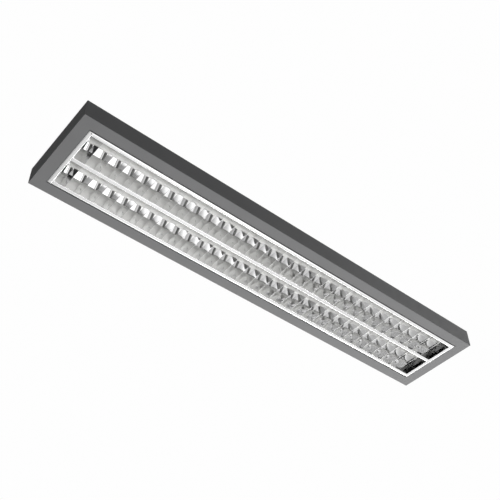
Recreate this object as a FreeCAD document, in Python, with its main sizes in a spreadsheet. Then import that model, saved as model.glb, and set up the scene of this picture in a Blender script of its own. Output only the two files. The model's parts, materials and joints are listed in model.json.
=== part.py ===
import FreeCAD, Part
import math
import os
import Sketcher

# Surface mounted ceiling luminaire for two slim fluorescent lamps, with a
# double parabolic mirror louvre in two rows.
# Frame: X along the luminaire, Y across it, +Z up. The origin is the centre
# of the back face, which lies on the ceiling; the light leaves at z = -height.
# Heights named "up" are measured upward from the light opening plane.

V = FreeCAD.Vector
doc = FreeCAD.newDocument("Luminaire")
sheet = doc.addObject("Spreadsheet::Sheet", "Dimensions")


class Dim:
    """A size: its value and the sheet expression that gives it."""

    def __init__(self, text, value):
        self.text = text
        self.value = float(value)

    def _mix(self, other, sign, value, flip=False):
        o = other.text if isinstance(other, Dim) else repr(float(other))
        a, b = (o, self.text) if flip else (self.text, o)
        return Dim("(%s %s %s)" % (a, sign, b), value)

    def __add__(self, o):
        return self._mix(o, "+", self.value + num(o))

    def __radd__(self, o):
        return self._mix(o, "+", num(o) + self.value, True)

    def __sub__(self, o):
        return self._mix(o, "-", self.value - num(o))

    def __rsub__(self, o):
        return self._mix(o, "-", num(o) - self.value, True)

    def __mul__(self, o):
        return self._mix(o, "*", self.value * num(o))

    def __rmul__(self, o):
        return self._mix(o, "*", self.value * num(o), True)

    def __truediv__(self, o):
        return self._mix(o, "/", self.value / num(o))

    def __neg__(self):
        return Dim("(0 - %s)" % self.text, -self.value)


def num(d):
    return d.value if isinstance(d, Dim) else float(d)


rows = [
    ("length", 1240, "housing, along X"),
    ("width", 242, "housing, along Y"),
    ("height", 50, "housing, back to light opening"),
    ("sheet", 1.0, "housing steel"),
    ("openx", 589.8, "light opening, half length"),
    ("openy", 92.4, "light opening, half width"),
    ("lipup", 10, "turned up edge of the opening"),
    ("fixx", 450, "ceiling fixing holes, half spacing along X"),
    ("fixy", 84, "ceiling fixing holes, half spacing along Y"),
    ("fixdia", 6.5, "ceiling fixing holes"),
    ("entryx", 300, "cable entry"),
    ("entryy", 92, "cable entry, toward the near side"),
    ("entrydia", 20, "hole for the grommet"),
    ("frx", 589, "louvre frame, half length"),
    ("fry", 89.6, "louvre frame, half width"),
    ("endrail", 10, "louvre end rail, width"),
    ("rowy", 42.43, "centre line of a lamp row"),
    ("rowhalf", 37.33, "half width of a row at the light opening"),
    ("rowmid", 35.03, "half width of a row half way up"),
    ("rowtop", 30.3, "half width of a row at the top of its reflectors"),
    ("reflup", 36, "top of the side reflectors"),
    ("railsheet", 0.6, "louvre rails"),
    ("mirror", 0.5, "mirror sheet"),
    ("endwall", 27.5, "height of the louvre end wall"),
    ("pitch", 37.82, "cross blades"),
    ("blades", 30, "cross blades in a row"),
    ("bladelow", 5, "bottom edge of a blade"),
    ("bladetop", 31.8, "top edge of a blade"),
    ("bladehalf", 3.5, "half width of a blade at the top"),
    ("bladefoil", 0.3, "blade sheet"),
    ("hingey", 84, "louvre hinge line"),
    ("hingeup", 4.5, "louvre hinge line above the light opening"),
    ("lampup", 40.15, "lamp axis above the light opening"),
    ("lamprad", 7.95, "glass tube"),
    ("lampwall", 0.75, "glass wall"),
    ("lampface", 574.5, "lamp, half length over the cap faces"),
    ("pinreach", 7.1, "contact pin length"),
    ("pinrad", 1.15, "contact pin"),
    ("pingap", 4.75, "contact pin spacing"),
    ("caprad", 8.3, "lamp cap"),
    ("tubehalf", 572.9, "glass tube, half length"),
    ("holderface", 575.3, "front of a lamp holder"),
    ("holderback", 588.5, "back of a lamp holder"),
    ("holderhalf", 9, "lamp holder, half width"),
    ("rotorrad", 6.62, "rotor of a lamp holder"),
    ("rotorbore", 6.7, "bore for the rotor"),
    ("topx", 563, "top reflector, half length"),
    ("topup", 48.35, "top reflector over the lamps"),
    ("topedge", 37.0, "top reflector, lower edges"),
    ("topflat", 9.0, "top reflector, half width of the flat over a lamp"),
    ("topside", 31.2, "top reflector, half width of a row"),
    ("postx", 400, "posts of the top reflector"),
    ("gearx", 180, "ballast case, half length"),
    ("geary", 101, "ballast centre line, toward the near side"),
    ("gearw", 30, "ballast case, width"),
    ("gearlow", 28, "ballast case, lowest"),
    ("plateup", 48.1, "ballast base plate"),
    ("platehalf", 212, "ballast base plate, half length"),
    ("wirerad", 0.9, "insulated wire"),
    ("wirestep", 2.4, "spacing of the lamp wires"),
    ("wirefirst", 113.4, "outermost lamp wire, toward the near side"),
    ("wireend", 612, "outermost lamp wire behind the lamp holders"),
]
S = {}
for i, (alias, value, note) in enumerate(rows):
    c = "A%d" % (i + 1)
    sheet.set(c, str(value))
    sheet.setAlias(c, alias)
    sheet.set("B%d" % (i + 1), note)
    S[alias] = Dim("Dimensions." + alias, value)
doc.recompute()

parts = []          # (label, object) in the order they are written


def up(d):
    """Height above the light opening, as a z of the frame."""
    return d - S["height"]


def keep(obj, label):
    obj.Label = label
    parts.append((label, obj))
    return obj


def bind(obj, prop, d):
    if isinstance(d, Dim):
        obj.setExpression(prop, d.text)
    else:
        obj.setExpression(prop, repr(float(d)))


# ---- sketches ------------------------------------------------------------

def new_body(label):
    b = doc.addObject("PartDesign::Body", label + "_body")
    return keep(b, label)


def new_sketch(b, plane, off=0.0):
    s = b.newObject("Sketcher::SketchObject", "Sketch")
    p = [f for f in b.Origin.OriginFeatures if f.Role == plane][0]
    s.AttachmentSupport = [(p, "")]
    s.MapMode = "FlatFace"
    if isinstance(off, Dim) or off:
        s.AttachmentOffset = FreeCAD.Placement(V(0, 0, num(off)), FreeCAD.Rotation())
        if isinstance(off, Dim):
            bind(s, "AttachmentOffset.Base.z", off)
    return s


def rect(s, x0, x1, y0, y1):
    """A rectangle whose four sides are fixed by sheet sizes."""
    g = s.GeometryCount
    a = [(num(x0), num(y0)), (num(x1), num(y0)), (num(x1), num(y1)), (num(x0), num(y1))]
    for i in range(4):
        j = (i + 1) % 4
        s.addGeometry(Part.LineSegment(V(a[i][0], a[i][1], 0), V(a[j][0], a[j][1], 0)), False)
    for i in range(4):
        s.addConstraint(Sketcher.Constraint("Coincident", g + i, 2, g + (i + 1) % 4, 1))
    for i in (0, 2):
        s.addConstraint(Sketcher.Constraint("Horizontal", g + i))
    for i in (1, 3):
        s.addConstraint(Sketcher.Constraint("Vertical", g + i))
    for kind, geo, d in (("DistanceX", g, x0), ("DistanceY", g, y0),
                         ("DistanceX", g + 2, x1), ("DistanceY", g + 2, y1)):
        n = s.addConstraint(Sketcher.Constraint(kind, -1, 1, geo, 1, num(d)))
        if isinstance(d, Dim):
            bind(s, "Constraints[%d]" % n, d)


def hole(s, x, y, r):
    g = s.addGeometry(Part.Circle(V(num(x), num(y), 0), V(0, 0, 1), num(r)), False)
    for kind, d in (("DistanceX", x), ("DistanceY", y)):
        n = s.addConstraint(Sketcher.Constraint(kind, -1, 1, g, 3, num(d)))
        if isinstance(d, Dim):
            bind(s, "Constraints[%d]" % n, d)
    n = s.addConstraint(Sketcher.Constraint("Radius", g, num(r)))
    if isinstance(r, Dim):
        bind(s, "Constraints[%d]" % n, r)


def outline(s, pts):
    """A closed outline. A corner (x, y) is reached by a line, a corner
    (x, y, mx, my) by an arc through (mx, my). Corners are fixed by sizes."""
    g = s.GeometryCount
    n = len(pts)
    for i in range(n):
        a = pts[i]
        b = pts[(i + 1) % n]
        pa = V(num(a[0]), num(a[1]), 0)
        pb = V(num(b[0]), num(b[1]), 0)
        if len(b) == 4:
            s.addGeometry(Part.Arc(pa, V(num(b[2]), num(b[3]), 0), pb), False)
        else:
            s.addGeometry(Part.LineSegment(pa, pb), False)
    return g


def grow(b, kind, s, length, sym=True, rev=False, through=False):
    f = b.newObject("PartDesign::" + kind, kind)
    f.Profile = s
    if through:
        f.Type = "ThroughAll"
    else:
        bind(f, "Length", length)
    if sym:
        f.SideType = "Symmetric"
    f.Reversed = rev
    before = b.Shape.Volume if kind == "Pocket" else 0.0
    b.Tip = f
    doc.recompute()
    if kind == "Pocket" and not b.Shape.Volume < before - 1e-6:
        raise RuntimeError(b.Label + ": a pocket removed nothing")
    s.Visibility = False
    return f


def repeat(b, f, axis, length, count):
    p = b.newObject("PartDesign::LinearPattern", "LinearPattern")
    p.Originals = [f]
    a = [o for o in b.Origin.OriginFeatures if o.Role == axis][0]
    p.Direction = (a, [""])
    p.Mode = "Extent"
    bind(p, "Length", length)
    p.Occurrences = int(num(count))
    b.Tip = p
    doc.recompute()
    return p


def fillet(b, base, radius, pick):
    names = []
    for i, e in enumerate(base.Shape.Edges):
        if pick(e):
            names.append("Edge%d" % (i + 1))
    f = b.newObject("PartDesign::Fillet", "Fillet")
    f.Base = (base, names)
    f.Radius = radius
    doc.recompute()
    return f


# ---- primitives ----------------------------------------------------------

def box(label, x0, x1, y0, y1, z0, z1, part=False):
    o = doc.addObject("Part::Box", label)
    for prop, a, c, ax in (("Length", x0, x1, "x"), ("Width", y0, y1, "y"), ("Height", z0, z1, "z")):
        d = c - a if isinstance(c, Dim) or isinstance(a, Dim) else float(c) - float(a)
        bind(o, prop, d)
        setattr(o, prop, num(d))
        bind(o, "Placement.Base." + ax, a)
    o.Placement.Base = V(num(x0), num(y0), num(z0))
    return keep(o, label) if part else o


def rod(label, axis, r, a, c, p, q, part=False):
    """A cylinder along axis X, Y or Z from a to c, at (p, q) of the other two."""
    o = doc.addObject("Part::Cylinder", label)
    bind(o, "Radius", r)
    o.Radius = num(r)
    d = c - a if isinstance(c, Dim) or isinstance(a, Dim) else float(c) - float(a)
    bind(o, "Height", d)
    o.Height = num(d)
    if axis == "X":
        base = (a, p, q)
        o.Placement = FreeCAD.Placement(V(num(a), num(p), num(q)), FreeCAD.Rotation(V(0, 1, 0), 90))
    elif axis == "Y":
        base = (p, a, q)
        o.Placement = FreeCAD.Placement(V(num(p), num(a), num(q)), FreeCAD.Rotation(V(1, 0, 0), -90))
    else:
        base = (p, q, a)
        o.Placement = FreeCAD.Placement(V(num(p), num(q), num(a)), FreeCAD.Rotation())
    for ax, d in zip("xyz", base):
        bind(o, "Placement.Base." + ax, d)
    return keep(o, label) if part else o


def cut(label, base, tool, part=True):
    o = doc.addObject("Part::Cut", label)
    o.Base = base
    o.Tool = tool
    return keep(o, label) if part else o


def fuse(label, shapes, part=True):
    o = doc.addObject("Part::MultiFuse", label)
    o.Shapes = shapes
    return keep(o, label) if part else o


def group(label, shapes):
    """Several equal separate solids in one node."""
    o = doc.addObject("Part::Feature", label)
    o.Shape = Part.makeCompound(shapes)
    o.Placement = FreeCAD.Placement()
    return keep(o, label)


def gbox(x0, x1, y0, y1, z0, z1):
    a = [num(v) for v in (x0, x1, y0, y1, z0, z1)]
    return Part.makeBox(a[1] - a[0], a[3] - a[2], a[5] - a[4], V(a[0], a[2], a[4]))


def grod(axis, r, a, c, p, q):
    a, c, p, q = num(a), num(c), num(p), num(q)
    base, d = {"X": (V(a, p, q), V(1, 0, 0)), "Y": (V(p, a, q), V(0, 1, 0)),
               "Z": (V(p, q, a), V(0, 0, 1))}[axis]
    return Part.makeCylinder(num(r), c - a, base, d)


def wire_solid(points, bend, r):
    """A round wire through the points: straight runs joined by tangent arcs."""
    pts = [V(*p) for p in points]
    edges = []
    total = 0.0
    start = pts[0]
    for i in range(1, len(pts) - 1):
        u = (pts[i] - pts[i - 1]).normalize()
        w = (pts[i + 1] - pts[i]).normalize()
        ang = u.getAngle(w)
        t = bend * math.tan(ang / 2)
        p1 = pts[i] - u * t
        p2 = pts[i] + w * t
        m = (w - u).normalize()
        c = pts[i] + m * (bend / math.cos(ang / 2))
        mid = c - m * bend
        edges.append(Part.makeLine(start, p1))
        total += (p1 - start).Length
        edges.append(Part.Arc(p1, mid, p2).toShape())
        total += bend * ang
        start = p2
    edges.append(Part.makeLine(start, pts[-1]))
    total += (pts[-1] - start).Length
    path = Part.Wire(edges)
    d = (pts[1] - pts[0]).normalize()
    disc = Part.Wire([Part.makeCircle(r, pts[0], d)])
    solid = path.makePipeShell([disc], True, True)
    if abs(solid.Volume - math.pi * r * r * total) > 0.02 * solid.Volume:
        raise RuntimeError("wire volume is off")
    return solid


L, W, H, T = S["length"], S["width"], S["height"], S["sheet"]
OX, OY = S["openx"], S["openy"]
FX, FY = S["frx"], S["fry"]
RY, RH, RM, RT = S["rowy"], S["rowhalf"], S["rowmid"], S["rowtop"]
ZA = up(S["lampup"])                      # z of the lamp axes

# ======================= housing ==========================================

# Folded body: back, long sides, rims turned in and edges turned up, one sheet.
b = new_body("housing_body")
s = new_sketch(b, "YZ_Plane")
wo, wi, oy = num(W) / 2, num(W) / 2 - num(T), num(OY)
lu, hh = num(S["lipup"]), num(H)
tt = num(T)
p = [(oy, -hh), (wo, -hh), (wo, 0), (-wo, 0), (-wo, -hh), (-oy, -hh), (-oy, -hh + lu),
     (-oy - tt, -hh + lu), (-oy - tt, -hh + tt), (-wi, -hh + tt), (-wi, -tt), (wi, -tt),
     (wi, -hh + tt), (oy + tt, -hh + tt), (oy + tt, -hh + lu), (oy, -hh + lu)]
outline(s, p)
f = grow(b, "Pad", s, L - T * 2)
f = fillet(b, f, 0.8, lambda e: (
    abs(e.CenterOfMass.z + hh) < 1e-3 and abs(abs(e.CenterOfMass.y) - wo) < 1e-3 and e.Length > 100))
b.Tip = f
# ceiling fixing holes, cable entry, and the holes of the gear screws
s = new_sketch(b, "XY_Plane")
for sx in (-1, 1):
    for sy in (-1, 1):
        hole(s, S["fixx"] * sx, S["fixy"] * sy, S["fixdia"] / 2)
    hole(s, (S["platehalf"] - 7) * sx, -S["geary"], 2.0)
hole(s, S["entryx"], -S["entryy"], S["entrydia"] / 2)
hole(s, 266, -92, 1.6)
grow(b, "Pocket", s, T * 3, sym=True)

# End caps: end face, short rim and its turned up edge with the hinge hole.
for name, sg in (("left", -1), ("right", 1)):
    b = new_body("housing_end_" + name)
    s = new_sketch(b, "YZ_Plane", (L / 2 - T / 2) * sg)
    rect(s, -W / 2, W / 2, -H, 0)
    f = grow(b, "Pad", s, T)
    xo = num(L) / 2
    f = fillet(b, f, 0.8, lambda e: (
        (abs(abs(e.CenterOfMass.y) - wo) < 1e-3 and abs(e.CenterOfMass.z + hh) < 1e-3)
        or (abs(abs(e.CenterOfMass.x) - xo) < 1e-3 and abs(e.CenterOfMass.z) > 1.0)))
    b.Tip = f
    s = new_sketch(b, "XY_Plane", -H + T / 2)
    x0, x1 = (OX, L / 2 - T * 0.5) if sg > 0 else (-L / 2 + T * 0.5, -OX)
    rect(s, x0, x1, -OY, OY)
    grow(b, "Pad", s, T)
    s = new_sketch(b, "XY_Plane", -H + T / 2)
    x0, x1 = (OX, OX + T) if sg > 0 else (-OX - T, -OX)
    rect(s, x0, x1, -OY, OY)
    grow(b, "Pad", s, S["lipup"] - T / 2, sym=False)
    s = new_sketch(b, "YZ_Plane", (OX + T / 2) * sg)
    hole(s, S["hingey"], up(S["hingeup"]), 1.6)
    grow(b, "Pocket", s, T * 3)

# Brackets behind the lamp holders, spot welded to the back.
for name, sg in (("left", -1), ("right", 1)):
    b = new_body("end_bracket_" + name)
    s = new_sketch(b, "XZ_Plane")
    zt = -T
    x0 = S["holderback"] + 0.1
    p = [(x0, up(30.0)), (x0 + 1.0, up(30.0)), (x0 + 1.0, zt - 1.0),
         (x0 + 15.0, zt - 1.0), (x0 + 15.0, zt), (x0, zt)]
    outline(s, [(num(a) * sg, num(c)) for a, c in p])
    grow(b, "Pad", s, 116.0)
    s = new_sketch(b, "YZ_Plane", (S["holderback"] - 5.0) * sg)
    for sy in (-1, 1):
        for d in (-5.0, 5.0):
            hole(s, RY * sy + d, ZA, 1.2)
    grow(b, "Pocket", s, 12.0, sym=False, rev=(sg > 0))

# Rubber grommet in the cable entry.
gx, gy, gr = S["entryx"], -S["entryy"], S["entrydia"] / 2
ring = fuse("grommet_ring", [rod("g1", "Z", gr - 0.1, -2.6, -0.2, gx, gy),
                             rod("g2", "Z", gr + 1.6, -3.4, -1.1, gx, gy)], part=False)
cut("cable_grommet", ring, rod("g3", "Z", 7.0, -5.0, 1.0, gx, gy))

# ======================= top reflector ====================================

# One mirror sheet over both lamps, folded to a double trough, with a flat
# bridge between the rows and a lip along each outer edge.
b = new_body("top_reflector")
s = new_sketch(b, "YZ_Plane")
ts, tf = S["topside"], S["topflat"]
lo, hi = up(S["topedge"]), up(S["topup"])
half = [(RY - ts, lo), (RY - tf, hi), (RY + tf, hi), (RY + ts, lo), (RY + ts + 3.0, lo)]
right = [(num(a), num(c)) for a, c in half]
left = [(-a, c) for a, c in reversed(right)]
low = left + right
t = num(S["mirror"]) - 0.05
outline(s, low + [(a, c + t) for a, c in reversed(low)])
grow(b, "Pad", s, S["topx"] * 2)
s = new_sketch(b, "XY_Plane", lo - 2.0)
for sx in (-1, 0, 1):
    hole(s, S["postx"] * sx, 0, 2.2)
grow(b, "Pocket", s, 6.0, sym=False, rev=True)

posts = []
screws = []
for sx in (-1, 0, 1):
    px = S["postx"] * sx
    z0 = num(lo) + t
    o = Part.makeCylinder(4.0, -num(T) - z0, V(num(px), 0, z0), V(0, 0, 1))
    posts.append(o.cut(Part.makeCylinder(2.1, 9.5, V(num(px), 0, z0 - 0.5), V(0, 0, 1))))
    head = Part.makeCylinder(3.8, 2.4, V(num(px), 0, num(lo) - 2.4), V(0, 0, 1))
    head = head.fuse(Part.makeCylinder(2.0, 8.0, V(num(px), 0, num(lo)), V(0, 0, 1)))
    for a in (0, 90):
        slot = Part.makeBox(4.4, 0.9, 1.4, V(-2.2, -0.45, 0))
        slot.rotate(V(0, 0, 0), V(0, 0, 1), a)
        slot.translate(V(num(px), 0, num(lo) - 2.5))
        head = head.cut(slot)
    screws.append(head)
group("reflector_posts", posts)
group("reflector_screws", screws)

# ======================= lamps and lamp holders ===========================

fx = S["lampface"]
for row, sy in (("near", -1), ("far", 1)):
    ly = RY * sy
    tube = rod("tube_out_" + row, "X", S["lamprad"], -S["tubehalf"], S["tubehalf"], ly, ZA)
    bore = rod("tube_in_" + row, "X", S["lamprad"] - S["lampwall"], -S["tubehalf"] - 1,
               S["tubehalf"] + 1, ly, ZA)
    cut("lamp_tube_" + row, tube, bore)
    caps, pins, elec = [], [], []
    for sx in (-1, 1):
        a, c = sorted((sx * (num(fx) - 9.0), sx * num(fx)))
        cap = grod("X", S["caprad"], a, c, ly, ZA)
        a2, c2 = sorted((sx * (num(fx) - 9.5), sx * (num(fx) - 1.5)))
        cap = cap.cut(grod("X", S["lamprad"] + 0.05, a2, c2, ly, ZA))
        for d in (-1, 1):
            py = num(ly) + d * num(S["pingap"]) / 2
            p0, p1 = sorted((sx * (num(fx) - 2.3), sx * (num(fx) + num(S["pinreach"]))))
            cap = cap.cut(grod("X", S["pinrad"], p0, p1, py, ZA))
            pins.append(grod("X", S["pinrad"], p0, p1, py, ZA))
        caps.append(cap)
        # glass stem with two leads and the coiled filament
        e0, e1 = sorted((sx * 571.5, sx * 572.1))
        st = grod("X", 7.1, e0, e1, ly, ZA)
        e0, e1 = sorted((sx * 560.0, sx * 571.8))
        st = st.fuse(grod("X", 3.0, e0, e1, ly, ZA))
        for d in (-2.0, 2.0):
            e0, e1 = sorted((sx * 551.5, sx * 561.0))
            st = st.fuse(grod("X", 0.3, e0, e1, num(ly) + d, ZA))
        st = st.fuse(grod("Y", 0.7, num(ly) - 2.6, num(ly) + 2.6, sx * 552.0, ZA))
        elec.append(st)
    group("lamp_caps_" + row, caps)
    group("lamp_pins_" + row, pins)
    group("lamp_electrodes_" + row, elec)

contacts = []
for row, sy in (("near", -1), ("far", 1)):
    ly = RY * sy
    for side, sx in (("left", -1), ("right", 1)):
        nm = row + "_" + side
        # moulded body: square above, round below the lamp axis
        b = new_body("lampholder_" + nm)
        hf, hb, hh = S["holderface"], S["holderback"], S["holderhalf"]
        mid = (hf + hb) / 2 * sx
        s = new_sketch(b, "YZ_Plane", mid)
        y0, y1 = num(ly - hh), num(ly + hh)
        zc = num(ZA)
        outline(s, [(y0, -num(T) - 0.1), (y0, zc), (y1, zc, num(ly), zc - num(hh)),
                    (y1, -num(T) - 0.1)])
        grow(b, "Pad", s, hb - hf)
        # bore of the rotor and the slot where the pins go in, from the front
        front = hf * sx
        s = new_sketch(b, "YZ_Plane", front)
        hole(s, ly, ZA, S["rotorbore"])
        grow(b, "Pocket", s, 7.9, sym=False, rev=(sx > 0))
        s = new_sketch(b, "YZ_Plane", front)
        rect(s, ly - 1.4, ly + 1.4, ZA - hh - 2.0, ZA)
        grow(b, "Pocket", s, 7.9, sym=False, rev=(sx > 0))
        # wire holes from the back
        s = new_sketch(b, "YZ_Plane", hb * sx)
        hole(s, ly - 5.0, ZA, 1.0)
        hole(s, ly + 5.0, ZA, 1.0)
        grow(b, "Pocket", s, 6.0, sym=False, rev=(sx < 0))
        # rotor: a disc with a slot that holds both pins
        a, c = sorted((sx * (num(hf) + 0.3), sx * (num(hf) + 5.2)))
        disc = rod("rotor_disc_" + nm, "X", S["rotorrad"], a, c, ly, ZA)
        slot = box("rotor_slot_" + nm, a - 1.0, c + 1.0, ly - S["rotorrad"] - 1.0, ly + 3.62,
                   ZA - 1.2, ZA + 1.2)
        cut("rotor_" + nm, disc, slot)
        # contact springs beside the pins, behind the rotor
        for d in (-1, 1):
            a, c = sorted((sx * (num(hf) + 5.6), sx * (num(hf) + 7.8)))
            y0, y1 = sorted((num(ly) + d * 3.85, num(ly) + d * 4.2))
            con = gbox(a, c, y0, y1, zc - 2.0, zc + 2.0)
            a, c = sorted((sx * (num(hf) + 7.4), sx * (num(hf) + 7.8)))
            y0, y1 = sorted((num(ly) + d * 3.85, num(ly) + d * 5.9))
            contacts.append(con.fuse(gbox(a, c, y0, y1, zc - 2.0, zc + 2.0)).removeSplitter())
group("lampholder_contacts", contacts)

# ======================= control gear =====================================

gy = -S["geary"]
gw = S["gearw"] / 2
pu = up(S["plateup"])
# base plate, screwed to the back
b = new_body("ballast_base")
s = new_sketch(b, "XY_Plane", pu)
rect(s, -S["platehalf"], S["platehalf"], gy - gw + 1.0, gy + gw - 1.0)
for sx in (-1, 1):
    hole(s, (S["platehalf"] - 7) * sx, gy, 2.2)
grow(b, "Pad", s, 0.8, sym=False)
# lid: a long sheet cover, open above
outer = box("lid_out", -S["gearx"], S["gearx"], gy - gw, gy + gw, up(S["gearlow"]), pu - 0.1)
inner = box("lid_in", -S["gearx"] + 0.7, S["gearx"] - 0.7, gy - gw + 0.7, gy + gw - 0.7,
            up(S["gearlow"]) + 0.7, pu + 1.0)
cut("ballast_case", outer, inner)
# circuit board on four studs under the base plate, and its largest parts
board = box("ballast_board", -172.0, 172.0, gy - 12.5, gy + 12.5, up(43.0), up(44.6), part=True)
studs = []
for sx in (-160.0, 160.0):
    for d in (-9.0, 9.0):
        studs.append(grod("Z", 2.0, up(44.6), pu, sx, num(gy) + d))
group("board_studs", studs)
cy = num(gy)
group("ballast_components", [
    gbox(-120, -92, cy - 10, cy + 10, up(30.5), up(43.0)),
    gbox(-60, -38, cy - 9, cy + 9, up(31.0), up(43.0)),
    grod("Z", 6.0, up(31.5), up(43.0), 0.0, cy),
    gbox(34, 60, cy - 10, cy + 10, up(30.5), up(43.0)),
    gbox(96, 112, cy - 5, cy + 7, up(33.0), up(43.0)),
])
# terminal blocks at both ends of the ballast
w1 = num(S["wirefirst"])
step = num(S["wirestep"])
lampy = [-(w1 - i * step) for i in range(4)]
for side, sx in (("left", -1), ("right", 1)):
    a, c = sorted((sx * (num(S["gearx"]) + 0.2), sx * (num(S["gearx"]) + 15.0)))
    y0 = -(w1 + 1.9)
    y1 = cy + 14.0
    z0, z1 = num(up(35.0)), num(pu) - 0.05
    base = box("bt_base_" + side, a, c, y0, y1, z0, z1)
    ys = list(lampy) + ([-98.5, -92.0] if sx > 0 else [])
    tools = []
    for i, yy in enumerate(ys):
        a2, c2 = sorted((sx * (num(S["gearx"]) + 7.0), sx * (num(S["gearx"]) + 16.0)))
        tools.append(rod("bt_h_%s_%d" % (side, i), "X", 1.0, a2, c2, yy, ZA))
    cut("ballast_terminal_" + side, base, fuse("bt_holes_" + side, tools, part=False))
# fixing screws of the ballast and of the mains terminal
gs = []
for px, py, z0 in ((-205.0, cy, num(pu)), (205.0, cy, num(pu))):
    o = Part.makeCylinder(3.6, 2.2, V(px, py, z0 - 2.2), V(0, 0, 1))
    o = o.fuse(Part.makeCylinder(1.9, -0.15 - z0, V(px, py, z0), V(0, 0, 1)))
    gs.append(o.cut(Part.makeBox(5.6, 0.9, 1.2, V(px - 2.8, py - 0.45, z0 - 2.3))))
z0 = num(up(46.0))
o = Part.makeCylinder(2.8, 2.0, V(266, -92, z0 - 2.0), V(0, 0, 1))
o = o.fuse(Part.makeCylinder(1.5, -0.15 - z0, V(266, -92, z0), V(0, 0, 1)))
gs.append(o.cut(Part.makeBox(4.4, 0.8, 1.0, V(266 - 2.2, -92.4, z0 - 2.1))))
group("gear_screws", gs)

# mains terminal block: three poles, a brass barrel in each with two screws
poles = [-98.5, -92.0, -85.5]
zt = -T - 0.1
tb = fuse("tb_blank", [box("tb1", 236.0, 262.0, -103.0, -81.0, up(33.0), zt),
                       box("tb2", 261.0, 270.5, -97.0, -87.0, up(46.0), zt)], part=False)
tools = [rod("tb_eye", "Z", 1.7, up(45.0), zt + 1.0, 266.0, -92.0)]
for i, py in enumerate(poles):
    tools.append(rod("tb_bore_%d" % i, "X", 2.45, 235.0, 263.0, py, ZA))
    for j, px in enumerate((242.0, 256.0)):
        tools.append(rod("tb_screw_hole_%d%d" % (i, j), "Z", 1.75, up(32.0), ZA, px, py))
cut("mains_terminal", tb, fuse("tb_tools", tools, part=False))
bars, tscr = [], []
for py in poles:
    bar = grod("X", 2.4, 238.0, 260.0, py, ZA).cut(grod("X", 1.3, 237.0, 261.0, py, ZA))
    for px in (242.0, 256.0):
        bar = bar.cut(grod("Z", 1.5, num(ZA) - 3.0, num(ZA), px, py))
        z0 = num(up(33.4))
        sc = grod("Z", 1.45, z0, num(ZA) - 1.0, px, py)
        tscr.append(sc.cut(Part.makeBox(3.2, 0.6, 0.8, V(px - 1.6, py - 0.3, z0 - 0.1))))
    bars.append(bar)
group("terminal_barrels", bars)
group("terminal_screws", tscr)

# earth stud, its nut and the ring tag
ex, ey = 218.0, -85.5
rod("earth_stud", "Z", 1.95, up(37.0), -T, ex, ey, part=True)
nut = Part.makePolygon([V(ex + 4.0 * math.cos(math.radians(a)), ey + 4.0 * math.sin(math.radians(a)),
                          num(up(44.6))) for a in range(0, 361, 60)])
nut = Part.Face(nut).extrude(V(0, 0, 3.2)).cut(grod("Z", 2.0, up(44.0), up(48.5), ex, ey))
o = doc.addObject("Part::Feature", "earth_nut")
o.Shape = nut
o.Placement = FreeCAD.Placement()
keep(o, "earth_nut")
tag = grod("Z", 4.0, up(47.85), up(48.65), ex, ey)
tag = tag.fuse(gbox(ex + 2.0, ex + 6.0, ey - 1.3, ey + 1.3, up(47.85), up(48.65)))
tag = tag.fuse(gbox(ex + 5.2, ex + 6.0, ey - 1.3, ey + 1.3, ZA, up(48.65)))
tag = tag.fuse(grod("X", 1.6, ex + 5.2, ex + 12.0, ey, ZA))
tag = tag.cut(grod("Z", 2.0, up(47.0), up(49.5), ex, ey))
tag = tag.cut(grod("X", 0.95, ex + 6.4, ex + 13.0, ey, ZA))
o = doc.addObject("Part::Feature", "earth_tag")
o.Shape = tag.removeSplitter()
o.Placement = FreeCAD.Placement()
keep(o, "earth_tag")

# ======================= internal wiring ==================================

wr = num(S["wirerad"])
za = num(ZA)
for nm, a, c, py in (("wire_live", 188.5, 246.0, poles[0]), ("wire_neutral", 188.5, 246.0, poles[1]),
                     ("wire_earth", ex + 6.6, 246.0, poles[2])):
    rod(nm, "X", S["wirerad"], a, c, py, ZA, part=True)
near, far = -num(RY), num(RY)
ends = [far + 5.0, far - 5.0, near + 5.0, near - 5.0]
for side, sx in (("left", -1), ("right", 1)):
    out = []
    for i in range(4):
        xe = num(S["wireend"]) - i * step
        xb = num(S["gearx"]) + 8.5
        out.append(wire_solid([(sx * xb, lampy[i], za), (sx * xe, lampy[i], za),
                               (sx * xe, ends[i], za), (sx * 583.25, ends[i], za)], 8.0, wr))
    group("lamp_wires_" + side, out)
# clips that hold the lamp wires to the back
clips = []
zt = -num(T) - 0.05
for px in (-560.0, -450.0, -340.0, -250.0, 250.0, 340.0, 450.0, 560.0):
    o = gbox(px - 3.5, px + 3.5, lampy[0] - 2.2, lampy[3] + 2.2, za - 2.0, zt)
    for yy in lampy:
        o = o.cut(grod("X", 0.93, px - 5.0, px + 5.0, yy, za))
    clips.append(o)
for sx in (-1, 1):
    x0, x1 = sorted((sx * (num(S["wireend"]) + 2.2), sx * (num(S["wireend"]) - step - 2.2)))
    o = gbox(x0, x1, -3.5, 3.5, za - 2.0, zt)
    for i in (0, 1):
        o = o.cut(grod("Y", 0.93, -5.0, 5.0, sx * (num(S["wireend"]) - i * step), za))
    clips.append(o)
group("wire_clips", clips)

# ======================= louvre ===========================================

m = num(S["mirror"])
rs = num(S["railsheet"])
rh, rm, rt, ry = num(RH), num(RM), num(RT), num(RY)
hu = num(S["reflup"])
bz = -num(H)
pitch, count = S["pitch"], S["blades"]
span = pitch * (count - 1)
inx = FX - S["endrail"]                  # inner face of the end rails
sidehalf = inx - 0.1                     # side reflectors, half length


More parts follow.
